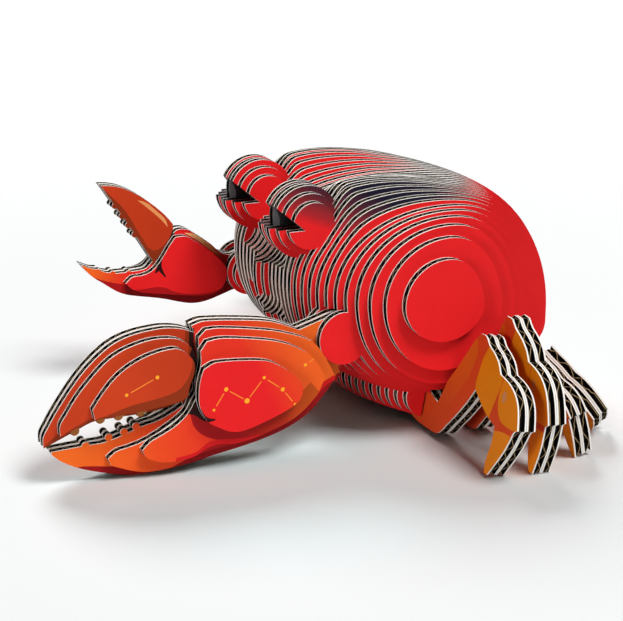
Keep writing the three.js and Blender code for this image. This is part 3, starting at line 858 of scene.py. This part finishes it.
# The slices are counted from the crab's left. BACK_SLICES have navy on the back,
# two slices have a pupil, and the slit is black in those and in SLIT_DEPTH slices
# to each side of them
MIDDLE_SLICE = 19
BACK_SLICES = range(8, 31)
PUPIL_SLICES = (13, 25)
SLIT_DEPTH = 2
SLIT = np.array([(-10.8, 33.05), (-10.8, 33.27), (-16.5, 38.4), (-16.5, 33.05)]) + (ART_Y, 0)


def dress_slice(node):
    """A body slice, with the prints that its place in the stack gives it."""
    number = int(node[-2:])
    near = "back_left" if number in BACK_SLICES and number <= MIDDLE_SLICE else "red"
    far = "back_right" if number in BACK_SLICES and number >= MIDDLE_SLICE else "red"
    slit = SLIT if min(abs(number - eye) for eye in PUPIL_SLICES) <= SLIT_DEPTH else None
    dress(node, "red_board", near, far, pupil_art() if number in PUPIL_SLICES else (), slit)


CLAW_PIECES = {
    "big_claw_board": ("orange_board", "claw", claw_board_art),
    "big_claw_dactyl_layer_1": ("rust_board", "rust", finger_layer_1_art),
    "big_claw_dactyl_layer_2": ("rust_board", "rust", finger_layer_2_art),
    "big_claw_palm_layer_1": ("orange_board", "claw", palm_layer_1_art),
    "big_claw_palm_layer_2": ("orange_board", "claw", palm_layer_2_art),
    "big_claw_palm_layer_3": ("orange_board", "heart", palm_layer_3_art),
    "small_claw_boards": ("rust_board", "wrist", small_claw_art),
    "small_claw_palm": ("red_board", "palm", small_palm_art),
}

for node in sorted(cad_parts):
    if node.startswith("body_slice"):
        dress_slice(node)
    elif node.startswith("leg"):
        dress(node, "ochre_board", "leg", "leg", leg_art(node))
    else:
        kind = node.removesuffix("_near").removesuffix("_far")
        slot, look, artwork = CLAW_PIECES[kind]
        dress(node, slot, look, look, artwork())


# Stage, lights and camera

# The floor's reach to each side in metres, and where its fade starts and ends
FLOOR_REACH = 6.0
FADE_NEAR = 75
FADE_FAR = 190

# The floor's colours, and the place by the large claw that they change around
FLOOR_WHITE = (247, 250, 250)
FLOOR_BY_CLAW = (241, 255, 255)
CLAW_FLOOR = (36, -12, 0)
TINT_NEAR = 10
TINT_FAR = 38

# The strength of the light from all round, and of the white that the camera sees
SKY_LIT = 0.03
SKY_SEEN = 1

# Each lamp's place and width in metres, its power in watts, and whether it lights
# the floor too. The photo's two shadows on the floor are those of key and rear
LAMP_AIM = (0, 0, 0.02)
LAMPS = {
    "key": ((1.0, 0.57, 1.99), 1.0, 33, True),
    "rear": ((-1.7, 0.15, 1.54), 1.2, 38, True),
    "key_fill": ((1.35, 0.5, 1.8), 0.7, 15, False),
    "front": ((1.12, -1.95, 0.48), 0.9, 19, False),
    "side": ((2.24, 0.2, 0.48), 0.9, 7.5, False),
}

# The photograph's camera, fitted to the photo: its focal length and the picture's
# width in pixels, its place, its turn from the crab's front to its left, and its rise
FOCAL = 1902
PICTURE_WIDTH = 623
CAMERA_AT = (276.8, ART_Y - 121.3, 110.7)
CAMERA_TURN = math.radians(66.92)
CAMERA_RISE = math.radians(17.66)

# Its sensor's width and the nearest that it sees
SENSOR = 36
CLIP_START = 10


def floor():
    """A white floor, which fades into the white backdrop away from the crab.

    By the large claw its colour makes up for the red light that the claw throws on it.
    """
    mesh = bpy.data.meshes.new("floor")
    corners = [(x * FLOOR_REACH, y * FLOOR_REACH, 0) for x, y in ((-1, -1), (1, -1), (1, 1), (-1, 1))]
    mesh.from_pydata(corners, [], [(0, 1, 2, 3)])
    piece = bpy.data.objects.new("floor", mesh)
    bpy.context.scene.collection.objects.link(piece)
    surface = Surface("floor", roughness=0.9, specular=0.0)
    tint = surface.around(CLAW_FLOOR, TINT_NEAR, TINT_FAR)
    colour = surface.colours(tint, [(0, FLOOR_BY_CLAW), (1, FLOOR_WHITE)])
    surface.finish(colour, grain=0.0, bump=0.0)
    away = surface.around((0, 0, 0), FADE_NEAR, FADE_FAR)
    clear = surface.node("ShaderNodeBsdfTransparent")
    mixed = surface.node("ShaderNodeMixShader")
    surface.link(away, mixed.inputs[0])
    surface.link(surface.shader.outputs[0], mixed.inputs[1])
    surface.link(clear.outputs[0], mixed.inputs[2])
    surface.link(mixed.outputs[0], surface.tree.nodes["Material Output"].inputs["Surface"])
    piece.data.materials.append(surface.material)
    return piece


def backdrop():
    """Soft light from all round, and white where the camera sees past the floor."""
    world = bpy.data.worlds.new("studio")
    bpy.context.scene.world = world
    world.use_nodes = True
    tree = world.node_tree
    lit = tree.nodes["Background"]
    seen = tree.nodes.new("ShaderNodeBackground")
    for sky, strength in ((lit, SKY_LIT), (seen, SKY_SEEN)):
        sky.inputs["Color"].default_value = (1, 1, 1, 1)
        sky.inputs["Strength"].default_value = strength
    path = tree.nodes.new("ShaderNodeLightPath")
    seeing = path.outputs["Is Camera Ray"]
    for ray in ("Is Glossy Ray", "Is Transmission Ray"):
        either = tree.nodes.new("ShaderNodeMath")
        either.operation = "MAXIMUM"
        tree.links.new(seeing, either.inputs[0])
        tree.links.new(path.outputs[ray], either.inputs[1])
        seeing = either.outputs[0]
    mixed = tree.nodes.new("ShaderNodeMixShader")
    tree.links.new(seeing, mixed.inputs[0])
    tree.links.new(lit.outputs[0], mixed.inputs[1])
    tree.links.new(seen.outputs[0], mixed.inputs[2])
    tree.links.new(mixed.outputs[0], tree.nodes["World Output"].inputs["Surface"])


def lamp(name, place, size, power, unlit=None):
    """A round lamp, aimed at the crab. The piece unlit gets none of its light."""
    data = bpy.data.lights.new(name, "AREA")
    data.shape = "DISK"
    data.size = size
    data.energy = power
    piece = bpy.data.objects.new(name, data)
    piece.location = place
    piece.rotation_euler = (Vector(LAMP_AIM) - Vector(place)).to_track_quat("-Z", "Y").to_euler()
    bpy.context.scene.collection.objects.link(piece)
    if unlit is not None:
        left_out = bpy.data.collections.new(name + "_unlit")
        left_out.objects.link(unlit)
        left_out.collection_objects[0].light_linking.link_state = "EXCLUDE"
        piece.light_linking.receiver_collection = left_out


def camera():
    """The photograph's view: a long lens, a little above the crab's left front."""
    data = bpy.data.cameras.new("camera")
    data.sensor_width = SENSOR
    data.lens = FOCAL / PICTURE_WIDTH * SENSOR
    data.clip_start = CLIP_START * MM
    piece = bpy.data.objects.new("camera", data)
    piece.location = Vector(CAMERA_AT) * MM
    level = math.cos(CAMERA_RISE)
    sideways, forwards = math.sin(CAMERA_TURN) * level, math.cos(CAMERA_TURN) * level
    back = Vector((sideways, -forwards, math.sin(CAMERA_RISE)))
    piece.rotation_euler = back.to_track_quat("Z", "Y").to_euler()
    bpy.context.scene.collection.objects.link(piece)
    bpy.context.scene.camera = piece


ground = floor()
backdrop()
for name, (place, size, power, lights_floor) in LAMPS.items():
    lamp(name, place, size, power, None if lights_floor else ground)
camera()
bpy.context.scene.view_settings.view_transform = "Standard"
